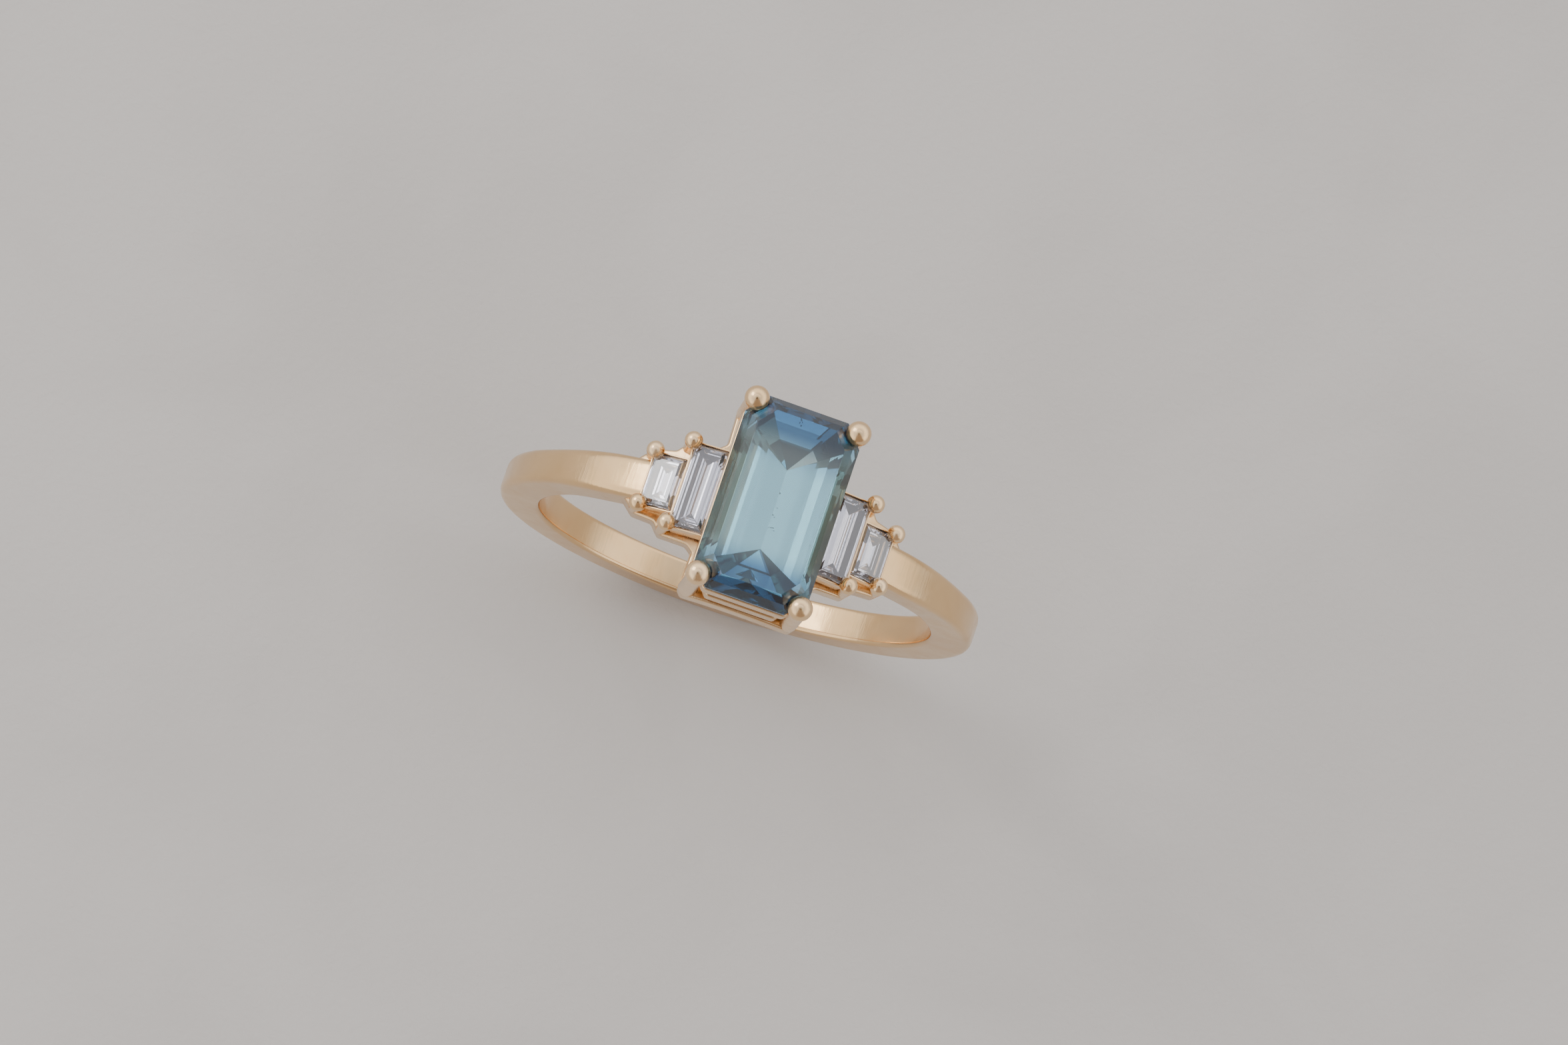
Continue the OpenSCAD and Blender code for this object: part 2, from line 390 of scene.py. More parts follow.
def draw_polish_marks(sheet: NodeSheet, given: Sockets, leave: Node) -> None:
    """Draw buffing marks: noise stretched along the finger, over a fine even grain.

    Args:
        sheet: The group's node sheet.
        given: The group's input sockets.
        leave: The Group Output node.
    """
    place = sheet.add("ShaderNodeTexCoord").outputs["Object"]
    stretch = sheet.add("ShaderNodeMapping", in_Scale=MARKS_STRETCH, in_Vector=place)
    marks = sheet.add(
        "ShaderNodeTexNoise", in_Detail=3.0, in_Roughness=0.6,
        in_Vector=stretch.outputs["Vector"], in_Scale=given["Marks Per Metre"],
    )
    grain = sheet.add(
        "ShaderNodeTexNoise", in_Detail=2.0, in_Roughness=0.5,
        in_Vector=place, in_Scale=sheet.math("MULTIPLY", given["Marks Per Metre"], GRAIN_FINER),
    )
    lines = sheet.math("MULTIPLY", sheet.ramp(marks.outputs[0], 0.42, 0.62), MARKS_SHARE)
    even = sheet.math("MULTIPLY", grain.outputs[0], 1 - MARKS_SHARE)
    both = sheet.math("ADD", lines, even)
    sheet.set(leave, in_Height=both)


def draw_handling_haze(sheet: NodeSheet, given: Sockets, leave: Node) -> None:
    """Draw broad soft patches, where skin and cloth have dulled a polished face.

    Args:
        sheet: The group's node sheet.
        given: The group's input sockets.
        leave: The Group Output node.
    """
    patches = sheet.add(
        "ShaderNodeTexNoise", in_Detail=4.0, in_Roughness=0.55, in_Distortion=0.4,
        in_Vector=sheet.add("ShaderNodeTexCoord").outputs["Object"],
        in_Scale=given["Patches Per Metre"],
    )
    sheet.set(leave, in_Haze=sheet.ramp(patches.outputs[0], 0.36, 0.68))


def draw_tint_and_painted_shade_zones(sheet: NodeSheet, given: Sockets, leave: Node) -> None:
    """Draw a stone's tint zones: darker ends, and a rim of painted shade round its sides and tips.

    The end zone, partly body colour and partly painted shade, is a smooth step of the distance
    along Y from the middle, as a share of the half length, with noise added so that its border
    wavers. The side and tip zones, painted shade, are where the distance to the girdle along X or
    Y is less than the rim.

    Args:
        sheet: The group's node sheet.
        given: The group's input sockets.
        leave: The Group Output node.
    """
    place = sheet.add("ShaderNodeTexCoord").outputs["Object"]
    split = sheet.add("ShaderNodeSeparateXYZ", in_Vector=place)
    bands = sheet.add(
        "ShaderNodeTexNoise", in_Detail=2.0, in_Roughness=0.5,
        in_Vector=place, in_Scale=given["Bands Per Metre"],
    )
    waver = sheet.math("MULTIPLY", sheet.math("SUBTRACT", bands.outputs[0], 0.5), given["Waver"])
    along = sheet.math("DIVIDE", sheet.math("ABSOLUTE", split.outputs["Y"]), given["Half Length"])
    sheet.set(leave, in_End_Zone=sheet.ramp(sheet.math("ADD", along, waver), *END_ZONE_FADE))
    for axis, half, zone in (("X", "Half Width", "Side Zone"), ("Y", "Half Length", "Tip Zone")):
        reach = sheet.math("SUBTRACT", given[half], sheet.math("ABSOLUTE", split.outputs[axis]))
        share = sheet.math("DIVIDE", reach, given["Rim"])
        sheet.feed(leave.inputs[zone], sheet.ramp(share, *RIM_FADE))


class SharedGroups:
    """The node groups that several finishes use, each built once."""

    def __init__(self) -> None:
        """Build the three groups."""
        self.polish = shader_group(
            "polish_marks", {"Marks Per Metre": 9000.0}, ("Height",), draw_polish_marks
        )
        self.haze = shader_group(
            "handling_haze", {"Patches Per Metre": 900.0}, ("Haze",), draw_handling_haze
        )
        self.zones = shader_group(
            "tint_and_painted_shade_zones",
            {
                "Half Length": 0.004, "Half Width": 0.002, "Rim": 0.0005,
                "Bands Per Metre": 500.0, "Waver": 0.1,
            },
            ("End Zone", "Side Zone", "Tip Zone"),
            draw_tint_and_painted_shade_zones,
        )


# ---- finishes


def blank_material(name: str) -> tuple[Material, NodeSheet, Node]:
    """Start a material.

    Args:
        name: The material's name.

    Returns:
        The material, its node sheet and its Principled shader, joined to the output.
    """
    material = bpy.data.materials.new(name)
    material.use_nodes = True
    sheet = NodeSheet(material.node_tree)
    material.node_tree.nodes.clear()
    shader = sheet.add("ShaderNodeBsdfPrincipled")
    sheet.add("ShaderNodeOutputMaterial", in_Surface=shader.outputs["BSDF"])
    return material, sheet, shader


@dataclass(frozen=True)
class GoldFinish:
    """Polished yellow gold with buffing marks and handled patches."""

    name: str
    bright: Colour
    warm: Colour
    smoothest: float
    dullest: float
    marks_per_metre: float
    mark_depth: float
    patches_per_metre: float = 1100.0
    tones_per_metre: float = 330.0
    haze_share: float = 0.7
    bump: float = 0.35

    def material(self, groups: SharedGroups) -> Material:
        """Build the material.

        Args:
            groups: The shared node groups.

        Returns:
            The gold material.
        """
        material, sheet, shader = blank_material(self.name)
        haze = sheet.group(groups.haze, in_Patches_Per_Metre=self.patches_per_metre)["Haze"]
        tone = sheet.group(groups.haze, in_Patches_Per_Metre=self.tones_per_metre)["Haze"]
        marks = sheet.group(groups.polish, in_Marks_Per_Metre=self.marks_per_metre)["Height"]
        spread = self.dullest - self.smoothest
        by_haze = sheet.math("MULTIPLY", haze, spread * self.haze_share)
        by_marks = sheet.math("MULTIPLY", marks, spread * (1 - self.haze_share))
        rough = sheet.math("ADD", by_haze, by_marks)
        sheet.set(
            shader, in_Metallic=1.0, in_Base_Color=sheet.blend(tone, self.bright, self.warm),
            in_Roughness=sheet.math("ADD", rough, self.smoothest),
            in_Normal=sheet.bump(marks, self.bump, self.mark_depth),
        )
        return material


@dataclass(frozen=True)
class StoneFinish:
    """A clear cut stone: its body colour by volume, and a tint that darkens its ends, sides and
    tips.

    The darker ends are partly body colour and partly painted shade; the dark sides and tips are
    painted shade.

    Clarity is the share of light that is let through. The rest is scattered softly, which
    fills the paths that a renderer gives up after its last bounce.
    """

    name: str
    index: float
    middle: Colour
    ends: Colour
    sides: Colour
    tips: Colour
    depth_colour: Colour
    depth_density: float
    half_length: float
    half_width: float
    rim: float
    clarity: float = 0.91
    waver: float = 0.12
    bands_per_metre: float = 420.0
    side_fade: float = 0.7

    def material(self, groups: SharedGroups) -> Material:
        """Build the material.

        Args:
            groups: The shared node groups.

        Returns:
            The stone's material.
        """
        material, sheet, shader = blank_material(self.name)
        zones = sheet.group(
            groups.zones,
            in_Half_Length=self.half_length * MM, in_Half_Width=self.half_width * MM,
            in_Rim=self.rim * MM, in_Bands_Per_Metre=self.bands_per_metre, in_Waver=self.waver,
        )
        # Darker ends, partly body colour and partly painted shade, then painted shade on the sides
        # and tips.
        tint = sheet.blend(zones["End Zone"], self.middle, self.ends)
        lost = sheet.math("MULTIPLY", zones["End Zone"], self.side_fade)
        beside = sheet.math("MULTIPLY", zones["Side Zone"], sheet.math("SUBTRACT", 1.0, lost))
        tint = sheet.blend(beside, tint, self.sides)
        sheet.set(
            shader, in_IOR=self.index, in_Transmission_Weight=self.clarity, in_Roughness=0.0,
            in_Base_Color=sheet.blend(zones["Tip Zone"], tint, self.tips),
        )
        absorb = sheet.add(
            "ShaderNodeVolumeAbsorption", in_Color=self.depth_colour, in_Density=self.depth_density
        )
        leave = next(n for n in sheet.tree.nodes if n.type == "OUTPUT_MATERIAL")
        sheet.set(leave, in_Volume=absorb.outputs["Volume"])
        return material


@dataclass(frozen=True)
class MineralFinish:
    """Dark crystal flecks caught inside the sapphire."""

    dark: Colour = (0.02, 0.03, 0.035)
    light: Colour = (0.09, 0.10, 0.10)

    def material(self, groups: SharedGroups) -> Material:
        """Build the material from the shared haze group.

        Args:
            groups: The shared node groups.

        Returns:
            The finished material.
        """
        material, sheet, shader = blank_material("included_crystal")
        haze = sheet.group(groups.haze, in_Patches_Per_Metre=20000.0)["Haze"]
        colour = sheet.blend(haze, self.dark, self.light)
        sheet.set(shader, in_Base_Color=colour, in_Roughness=0.6)
        return material


@dataclass(frozen=True)
class PlasterFinish:
    """Pale matte plaster for the floor."""

    pale: Colour = (0.57, 0.545, 0.52)
    shade: Colour = (0.53, 0.505, 0.48)

    def material(self, groups: SharedGroups) -> Material:
        """Build the material from the shared haze group at two sizes.

        Args:
            groups: The shared node groups.

        Returns:
            The finished material.
        """
        material, sheet, shader = blank_material("pale_plaster")
        haze = sheet.group(groups.haze, in_Patches_Per_Metre=60.0)["Haze"]
        grain = sheet.group(groups.haze, in_Patches_Per_Metre=2600.0)["Haze"]
        sheet.set(
            shader, in_Base_Color=sheet.blend(haze, self.pale, self.shade), in_Roughness=0.85,
            in_Normal=sheet.bump(grain, strength=0.15, depth=0.05 * MM),
        )
        return material


class Slot(Enum):
    """The record's material slots."""

    GOLD = "gold"
    SAPPHIRE = "sapphire"
    DIAMOND = "diamond"


class Finishes:
    """Every material of the ring, built once."""

    def __init__(self, sapphire_half: Span) -> None:
        """Build the finishes.

        Args:
            sapphire_half: Half the centre stone's width and length, in millimetres.
        """
        groups = SharedGroups()
        self.shank = GoldFinish(
            "polished_gold_shank", bright=(0.81, 0.555, 0.30), warm=(0.75, 0.49, 0.24),
            smoothest=0.12, dullest=0.26, marks_per_metre=7000.0, mark_depth=0.004 * MM,
        ).material(groups)
        self.setting = GoldFinish(
            "polished_gold_setting", bright=(0.90, 0.655, 0.39), warm=(0.84, 0.575, 0.31),
            smoothest=0.17, dullest=0.29, marks_per_metre=11000.0, mark_depth=0.005 * MM,
        ).material(groups)
        # The sapphire's dark blue ends are partly its own colour and partly painted shade; its dark
        # olive sides and near-black tips are painted shade of the gold and shadow seen through it.
        self.sapphire = StoneFinish(
            "sapphire_body", index=1.77,
            middle=(0.82, 0.99, 1.0), ends=(0.10, 0.22, 0.38),
            sides=(0.10, 0.11, 0.08), tips=(0.03, 0.08, 0.15),
            depth_colour=(0.235, 0.75, 0.875), depth_density=190.0,
            half_length=sapphire_half[1], half_width=sapphire_half[0], rim=0.56,
        ).material(groups)
        self.diamond = StoneFinish(
            "diamond_body", index=2.417,
            middle=(0.89, 0.89, 1.0), ends=(0.85, 0.85, 0.99),
            sides=(0.89, 0.89, 1.0), tips=(0.86, 0.86, 1.0),
            depth_colour=(0.90, 0.90, 0.96), depth_density=20.0,
            half_length=1.68, half_width=5.0, rim=0.12, clarity=0.93,
        ).material(groups)
        # A darker, deeper copy of the setting's gold: its colour is painted shade for the rails and
        # gallery under the stones; its higher roughness is a satin finish.
        self.gallery = GoldFinish(
            "satin_gold_gallery_painted_shade", bright=(0.80, 0.57, 0.33), warm=(0.68, 0.46, 0.25),
            smoothest=0.16, dullest=0.34, marks_per_metre=9000.0, mark_depth=0.004 * MM,
        ).material(groups)
        self.crystal = MineralFinish().material(groups)
        self.plaster = PlasterFinish().material(groups)


def add_piece(
    name: str,
    surface: Surface,
    material: Material,
    stands_for: tuple[str, ...],
    smooth: bool = True,
) -> None:
    """Make a finished piece at the origin, riding on the ring's one body.

    Args:
        name: The piece's name.
        surface: Its shape, in millimetres.
        material: Its finish.
        stands_for: CAD nodes that the piece replaces.
        smooth: Whether its faces shade smoothly into each other.
    """
    mesh = bpy.data.meshes.new(name)
    mesh.from_pydata((surface.points * MM).tolist(), [], surface.faces)
    mesh.polygons.foreach_set("use_smooth", np.full(len(mesh.polygons), smooth))
    mesh.materials.append(material)
    mesh.update()
    piece = bpy.data.objects.new(name, mesh)
    bpy.context.scene.collection.objects.link(piece)
    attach(piece, "root")
    if stands_for:
        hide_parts(*stands_for)
    log.info("%s: %d points, %d faces", name, len(surface.points), len(surface.faces))


# ---- stones


@dataclass
class StepCutStone:
    """A step-cut stone with cut corners, steps on crown and pavilion, and a keel.

    Each step is an eight-sided ring: the girdle's outline moved in by a share of its half
    width, with its corner cuts shrunk by the same share, at a share of the crown's height or
    the pavilion's depth.
    """

    length: float
    width: float
    corner_x: float
    corner_y: float
    crown: float
    pavilion: float
    rim: float
    crown_steps: Steps
    pavilion_steps: Steps

    def ring(self, share: float, height: float) -> Array:
        """Place the eight corners of one step.

        Args:
            share: How much of the half width the step is moved in.
            height: The step's height.

        Returns:
            The corners, counted round from the east side.
        """
        inset = share * self.width / 2
        x, y = self.width / 2 - inset, self.length / 2 - inset
        flat = cut_corner_points(x, y, self.corner_x * (1 - share), self.corner_y * (1 - share))
        return np.array([(*p, height) for p in flat])

    def surface(self) -> Surface:
        """Build the stone with its girdle at height 0.

        Returns:
            The closed faceted surface.
        """
        top, bottom = self.rim / 2, -self.rim / 2
        levels = [(s, top + h * self.crown) for s, h in self.crown_steps]
        levels += [(0.0, top), (0.0, bottom)]
        levels += [(s, bottom - h * self.pavilion) for s, h in self.pavilion_steps]
        rings = np.stack([self.ring(s, h) for s, h in levels])
        keel = (self.length - self.width) / 2
        depth = bottom - self.pavilion
        points = np.vstack([rings.reshape(-1, 3), [[0, keel, depth], [0, -keel, depth]]])
        count = len(levels)
        last, north, south = 8 * (count - 1), 8 * count, 8 * count + 1
        faces = lattice(count, 8, False)
        faces.append(list(range(7, -1, -1)))
        faces += [[last, last + 1, north, south], [last + 4, last + 5, south, north]]
        faces += [[last + i, last + i + 1, north] for i in (1, 2, 3)]
        faces += [[last + i, last + (i + 1) % 8, south] for i in (5, 6, 7)]
        return Surface(points, faces).outward()

    def planes(self, surface: Surface) -> tuple[Array, Array]:
        """Find the plane of every facet.

        Args:
            surface: The stone's surface in its place.

        Returns:
            The outward normals, and the offsets along them.
        """
        corners = np.array([face[:3] for face in surface.faces])
        a, b, c = (surface.points[corners[:, i]] for i in range(3))
        normals = np.cross(b - a, c - a)
        normals /= np.linalg.norm(normals, axis=1, keepdims=True)
        return normals, np.einsum("ij,ij->i", normals, a)


@dataclass
class CentreStone:
    """The sapphire and the crystals inside it."""

    corner_x: float = 0.72
    corner_y: float = 0.86
    crown: float = 0.72
    rim: float = 0.12
    fleck_count: int = 8
    fleck_seed: int = 7
    fleck_size: Span = (0.016, 0.03)
    fleck_waver: Span = (0.65, 1.35)
    fleck_stretch: Span = (0.6, 1.5)
    fleck_across: Span = (0.04, 0.06)
    fleck_along: Span = (-1.1, 0.7)
    fleck_depth: Span = (0.5, 1.1)

    def __post_init__(self) -> None:
        """Work out the cut and the girdle's height from the CAD stone's box."""
        span = node_span("sapphire")
        low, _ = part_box("sapphire")
        pavilion = span[2] - self.crown - self.rim
        self.girdle_z = low[2] / MM + pavilion + self.rim / 2
        self.cut = StepCutStone(
            span[1], span[0], self.corner_x, self.corner_y,
            self.crown, pavilion, self.rim, **SAPPHIRE_CUT,
        )
        self.surface = self.cut.surface()
        self.surface.points[:, 2] += self.girdle_z
        self.planes = self.cut.planes(self.surface)

    def flecks(self) -> Surface:
        """Shape the crystals inside the stone.

        Each is a small ball on a latitude and longitude grid whose radius wavers by a seeded
        random factor. They sit near the keel line, at random depths below the girdle.

        Returns:
            All the crystals as one surface.
        """
        rng = np.random.default_rng(self.fleck_seed)
        latitude = np.linspace(-np.pi / 2, np.pi / 2, 8)[1:-1]
        longitude = np.linspace(0, 2 * np.pi, 9)[:-1]
        flat, turn = np.meshgrid(latitude, longitude, indexing="ij")
        east, north = np.cos(flat) * np.cos(turn), np.cos(flat) * np.sin(turn)
        ball = np.stack([east, north, np.sin(flat)], axis=-1)
        whole = None
        for _ in range(self.fleck_count):
            size = rng.uniform(*self.fleck_size)
            waver = rng.uniform(*self.fleck_waver, ball.shape[:2])[..., None]
            stretch = rng.uniform(*self.fleck_stretch, 3)
            place = np.array([
                rng.normal(*self.fleck_across), rng.uniform(*self.fleck_along),
                self.girdle_z - rng.uniform(*self.fleck_depth),
            ])
            fleck = ring_tube(ball * waver * stretch * size + place, closed=False)
            whole = fleck if whole is None else whole.joined(fleck)
        return whole

    def build(self, finishes: Finishes) -> None:
        """Add the sapphire and its crystals."""
        add_piece(
            "sapphire_stone", self.surface, finishes.sapphire, ("sapphire",), False
        )
        add_piece("sapphire_flecks", self.flecks(), finishes.crystal, ())


# ---- baguettes and collets


@dataclass
class BaguetteSeat:
    """One baguette diamond in its open collet, leaning outwards on a shoulder."""

    side: str
    step: str
    lean: float
    collet_height: float
    width: float = 1.38
    crown: float = 0.2
    pavilion: float = 0.64
    rim: float = 0.05
    nick: float = 0.04
    side_wall: float = 0.07
    end_wall: float = 0.1
    ledge: float = 0.16
    lip_rise: float = 0.02
    lip_inset: float = 0.01
    lip_drop: float = 0.03
    ledge_drop: float = 0.26
    corner_round: float = 0.06

    def __post_init__(self) -> None:
        """Find the girdle's centre from the CAD stone's box.

        The outermost point of a leaning stone is its girdle's upper edge, half a width out
        along the lean, and its lowest point is the keel.
        """
        node = f"{self.side}_{self.step}_baguette"
        low, high = (np.array(v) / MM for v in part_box(node))
        sign = 1 if self.side == "right" else -1
        angle = math.radians(self.lean)
        reach = self.width / 2 * math.cos(angle) + self.rim / 2 * math.sin(angle)
        outermost = high[0] if sign > 0 else -low[0]
        self.sign = sign
        self.length = high[1] - low[1]
        depth = (self.rim / 2 + self.pavilion) * math.cos(angle)
        self.centre = np.array([sign * (outermost - reach), 0.0, low[2] + depth])
        self.turn = np.array([
            [math.cos(angle), 0, sign * math.sin(angle)],
            [0, 1, 0],
            [-sign * math.sin(angle), 0, math.cos(angle)],
        ])
        self.cut = StepCutStone(
            self.length, self.width, self.nick, self.nick,
            self.crown, self.pavilion, self.rim, **BAGUETTE_CUT,
        )
        self.stone = self.placed(self.cut.surface())
        self.planes = self.cut.planes(self.stone)

    def placed(self, surface: Surface) -> Surface:
        """Turn a surface by the lean and move it to the seat."""
        return Surface(surface.points @ self.turn.T + self.centre, surface.faces).outward()

    def collet(self) -> Surface:
        """Shape the collet: a small frame whose inner lip follows the stone.

        The section is a closed outline of (distance in from the outer wall, height). It is
        carried round a rectangle with softened corners, which shrinks by that distance.

        Returns:
            The collet in its place.
        """
        in_reach = self.side_wall + self.ledge
        lip, wall = self.rim / 2 + self.lip_rise, self.side_wall - self.lip_inset
        section = softened(
            np.array([
                (0.0, -self.collet_height), (0.0, lip), (wall, lip), (wall, -self.lip_drop),
                (in_reach, -self.ledge_drop), (in_reach, -self.collet_height),
            ]),
            np.array([0.03, 0.022, 0.02, 0.01, 0.03, 0.03]),
            steps=4,
        )
        half_x = self.width / 2 + self.side_wall - section[:, 0]
        half_y = self.length / 2 + self.end_wall - section[:, 0]
        x, y = (half_x, half_x, -half_x, -half_x), (-half_y, half_y, half_y, -half_y)
        outline = softened(corner_rows(x, y), self.corner_round, steps=5)
        return self.placed(framed(outline, section)).clear_of(self.planes)

    def build(self, finishes: Finishes) -> None:
        """Add the stone and its collet.

        Args:
            finishes: The ring's materials.
        """
        label = f"{self.side}_{self.step}"
        node = f"{label}_baguette"
        add_piece(f"{label}_diamond", self.stone, finishes.diamond, (node,), False)
        node = f"{label}_collet"
        add_piece(f"{label}_frame", self.collet(), finishes.setting, (node,))


# ---- claws and prongs


@dataclass
class BallClaw:
    """An upright gold wire with a ball on top, pressed against the stone that it holds."""

    node: str
    ball: float
    wire: float
    planes: tuple[Array, Array]
    neck_share: float = 0.86
    taper_share: float = 0.6
    wire_rows: int = 60
    ball_rows: int = 44
    turns: int = 72

    def __post_init__(self) -> None:
        """Find the ball's centre and the foot from the CAD node's box."""
        low, high = (np.array(v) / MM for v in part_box(self.node))
        middle = (low + high) / 2
        self.centre = np.array([middle[0], middle[1], high[2] - self.ball / 2])
        self.foot = low[2]

    def profile(self) -> Array:
        """Draw the claw's outline from the foot to the top.

        The wire's radius and the ball's radius at each height are joined by the tenth root of
        the sum of their tenth powers, which rounds the neck between them. The wire fades out
        inside the ball along a smooth step.

        Returns:
            The outline as (radius, height).
        """
        ball, wire = self.ball / 2, self.wire / 2
        neck = self.centre[2] - ball * self.neck_share
        low = np.linspace(self.foot, neck, self.wire_rows, endpoint=False)
        angles = np.linspace(math.asin(-self.neck_share), math.pi / 2, self.ball_rows)
        high = self.centre[2] + ball * np.sin(angles)
        z = np.concatenate([low, high[:-1]])
        round_part = np.sqrt(np.clip(ball**2 - (z - self.centre[2]) ** 2, 0, None))
        taper = self.centre[2] - self.taper_share * ball
        wire_part = wire * (1 - smooth_step(z, taper, self.centre[2]))
        radius = (round_part**10 + wire_part**10) ** 0.1
        return np.stack([radius, z], axis=1)

    def surface(self) -> Surface:
        """Turn the profile round the wire's axis, and press it clear of the stone.

        Returns:
            The closed surface.
        """
        outline = self.profile()
        turn = np.linspace(0, 2 * np.pi, self.turns + 1)[:-1]
        rings = np.stack([
            self.centre[0] + outline[:, :1] * np.cos(turn),
            self.centre[1] + outline[:, :1] * np.sin(turn),
            np.broadcast_to(outline[:, 1:], (len(outline), len(turn))),
        ], axis=-1)
        whole = ring_tube(rings, closed=False)
        whole.points[-1, 2] = self.centre[2] + self.ball / 2
        return whole.clear_of(self.planes)

    def build(self, finishes: Finishes) -> None:
        """Add the claw."""
        add_piece(f"{self.node}_wire", self.surface(), finishes.setting, (self.node,))


# ---- head rails


@dataclass
class HeadRail:
    """A rail with cut corners that ties the four claws together under the centre stone."""

    node: str
    stone: CentreStone
    rail_w: float = 0.42
    edge: float = 0.07
    corner_round: float = 0.1
    splits: int = 8

    def surface(self) -> Surface:
        """Carry the rail's section round the head.

        The section is an outline of (distance in from the outer face, height), with the seat
        cut along the pavilion. The path is a rectangle with cut corners that shrinks by that
        distance, so the mitres stay true.

        Returns:
            The closed surface.
        """
        low, high = (np.array(v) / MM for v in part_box(self.node))
        half_x, half_y = high[0], high[1]
        wide = self.rail_w
        block = np.array([(0.0, low[2]), (0.0, high[2]), (wide, high[2]), (wide, low[2])])
        section = softened(block, self.edge, steps=6)
        section = np.vstack([section, section[:1]])
        fine = np.linspace(0, len(section) - 1, self.splits * (len(section) - 1) + 1)[:-1]
        section = np.stack(
            [np.interp(fine, np.arange(len(section)), section[:, i]) for i in range(2)], axis=1
        )
        x, y = half_x - section[:, 0], half_y - section[:, 0]
        flat = cut_corner_points(x, y, self.stone.corner_x, self.stone.corner_y)
        outline = softened(corner_rows(*zip(*flat)), self.corner_round, steps=5)
        return framed(outline, section).clear_of(self.stone.planes)

    def build(self, finishes: Finishes) -> None:
        """Add the rail."""
        add_piece(f"{self.node}_bar", self.surface(), finishes.gallery, (self.node,))


# ---- gallery


@dataclass
class GalleryRail:
    """The rail under one end of the head: it ties the claws together and carries the prongs.

    Its outline seen from above is given by pairs of points (outer edge, inner edge) on the
    right half, from the shank's side to the middle of the head.
    """

    node: str
    end: int
    inner_r: float = 8.7
    outer_r: float = 9.5
    edge: float = 0.11
    rounding: float = 0.11
    stations: int = 300
    outer: Steps = (
        (5.5, 0.78), (4.94, 1.36), (4.14, 1.48), (3.76, 1.94), (2.64, 2.02),
        (2.36, 2.25), (2.4, 3.74), (2.2, 3.97), (0.0, 3.97),
    )
    inner: Steps = (
        (4.8, 0.78), (4.6, 0.9), (3.9, 1.06), (3.4, 1.16), (2.3, 1.38),
        (1.62, 1.8), (1.62, 3.1), (1.62, 3.28), (0.0, 3.28),
    )

    def edges(self) -> tuple[Array, Array]:
        """Sample both edges of the rail from one shank side to the other.

        The stations are even along the outer edge. Both lines are then averaged over a short
        window, which rounds their corners.

        Returns:
            The outer and inner edge, each as (station, xy).
        """
        right = np.array([self.outer, self.inner])
        left = right[:, ::-1][:, 1:] * np.array([-1, 1])
        pair = np.concatenate([right, left], axis=1) * np.array([1, self.end])
        steps = np.linalg.norm(np.diff(pair[0], axis=0), axis=1)
        run = np.concatenate([[0], np.cumsum(steps)])
        even = np.linspace(0, run[-1], self.stations)
        lines = np.stack([[np.interp(even, run, line[:, i]) for i in range(2)] for line in pair])
        reach = max(1, round(self.rounding / run[-1] * self.stations))
        window = np.hanning(2 * reach + 3)[1:-1]
        window /= window.sum()
        padded = np.pad(lines, ((0, 0), (0, 0), (reach, reach)), mode="reflect", reflect_type="odd")
        rounded = np.apply_along_axis(np.convolve, 2, padded, window, "valid")
        return rounded[0].T, rounded[1].T

    def surface(self) -> Surface:
        """Carry a softened rectangle along the rail, wrapped round the finger.

        A section point stands between the two edges in plan. Its height is the square root of
        its radius squared minus x squared. The claws stand on the face at the outer radius.

        Returns:
            The closed surface.
        """
        outside, inside = self.edges()
        half = np.linalg.norm(outside - inside, axis=1) / 2
        inner, outer = np.full_like(half, self.inner_r), np.full_like(half, self.outer_r)
        corners = corner_rows((-half, -half, half, half), (inner, outer, outer, inner))
        section = softened(corners, self.edge, steps=7)
        share = section[..., :1] / (2 * half[:, None, None]) + 0.5
        flat = outside[:, None] * (1 - share) + inside[:, None] * share
        height = np.sqrt(section[..., 1] ** 2 - flat[..., 0] ** 2)
        return ring_tube(np.concatenate([flat, height[..., None]], axis=-1), closed=False)

    def build(self, finishes: Finishes) -> None:
        """Add the rail."""
        add_piece(f"{self.node}_rail", self.surface(), finishes.gallery, (self.node,))


# ---- shank


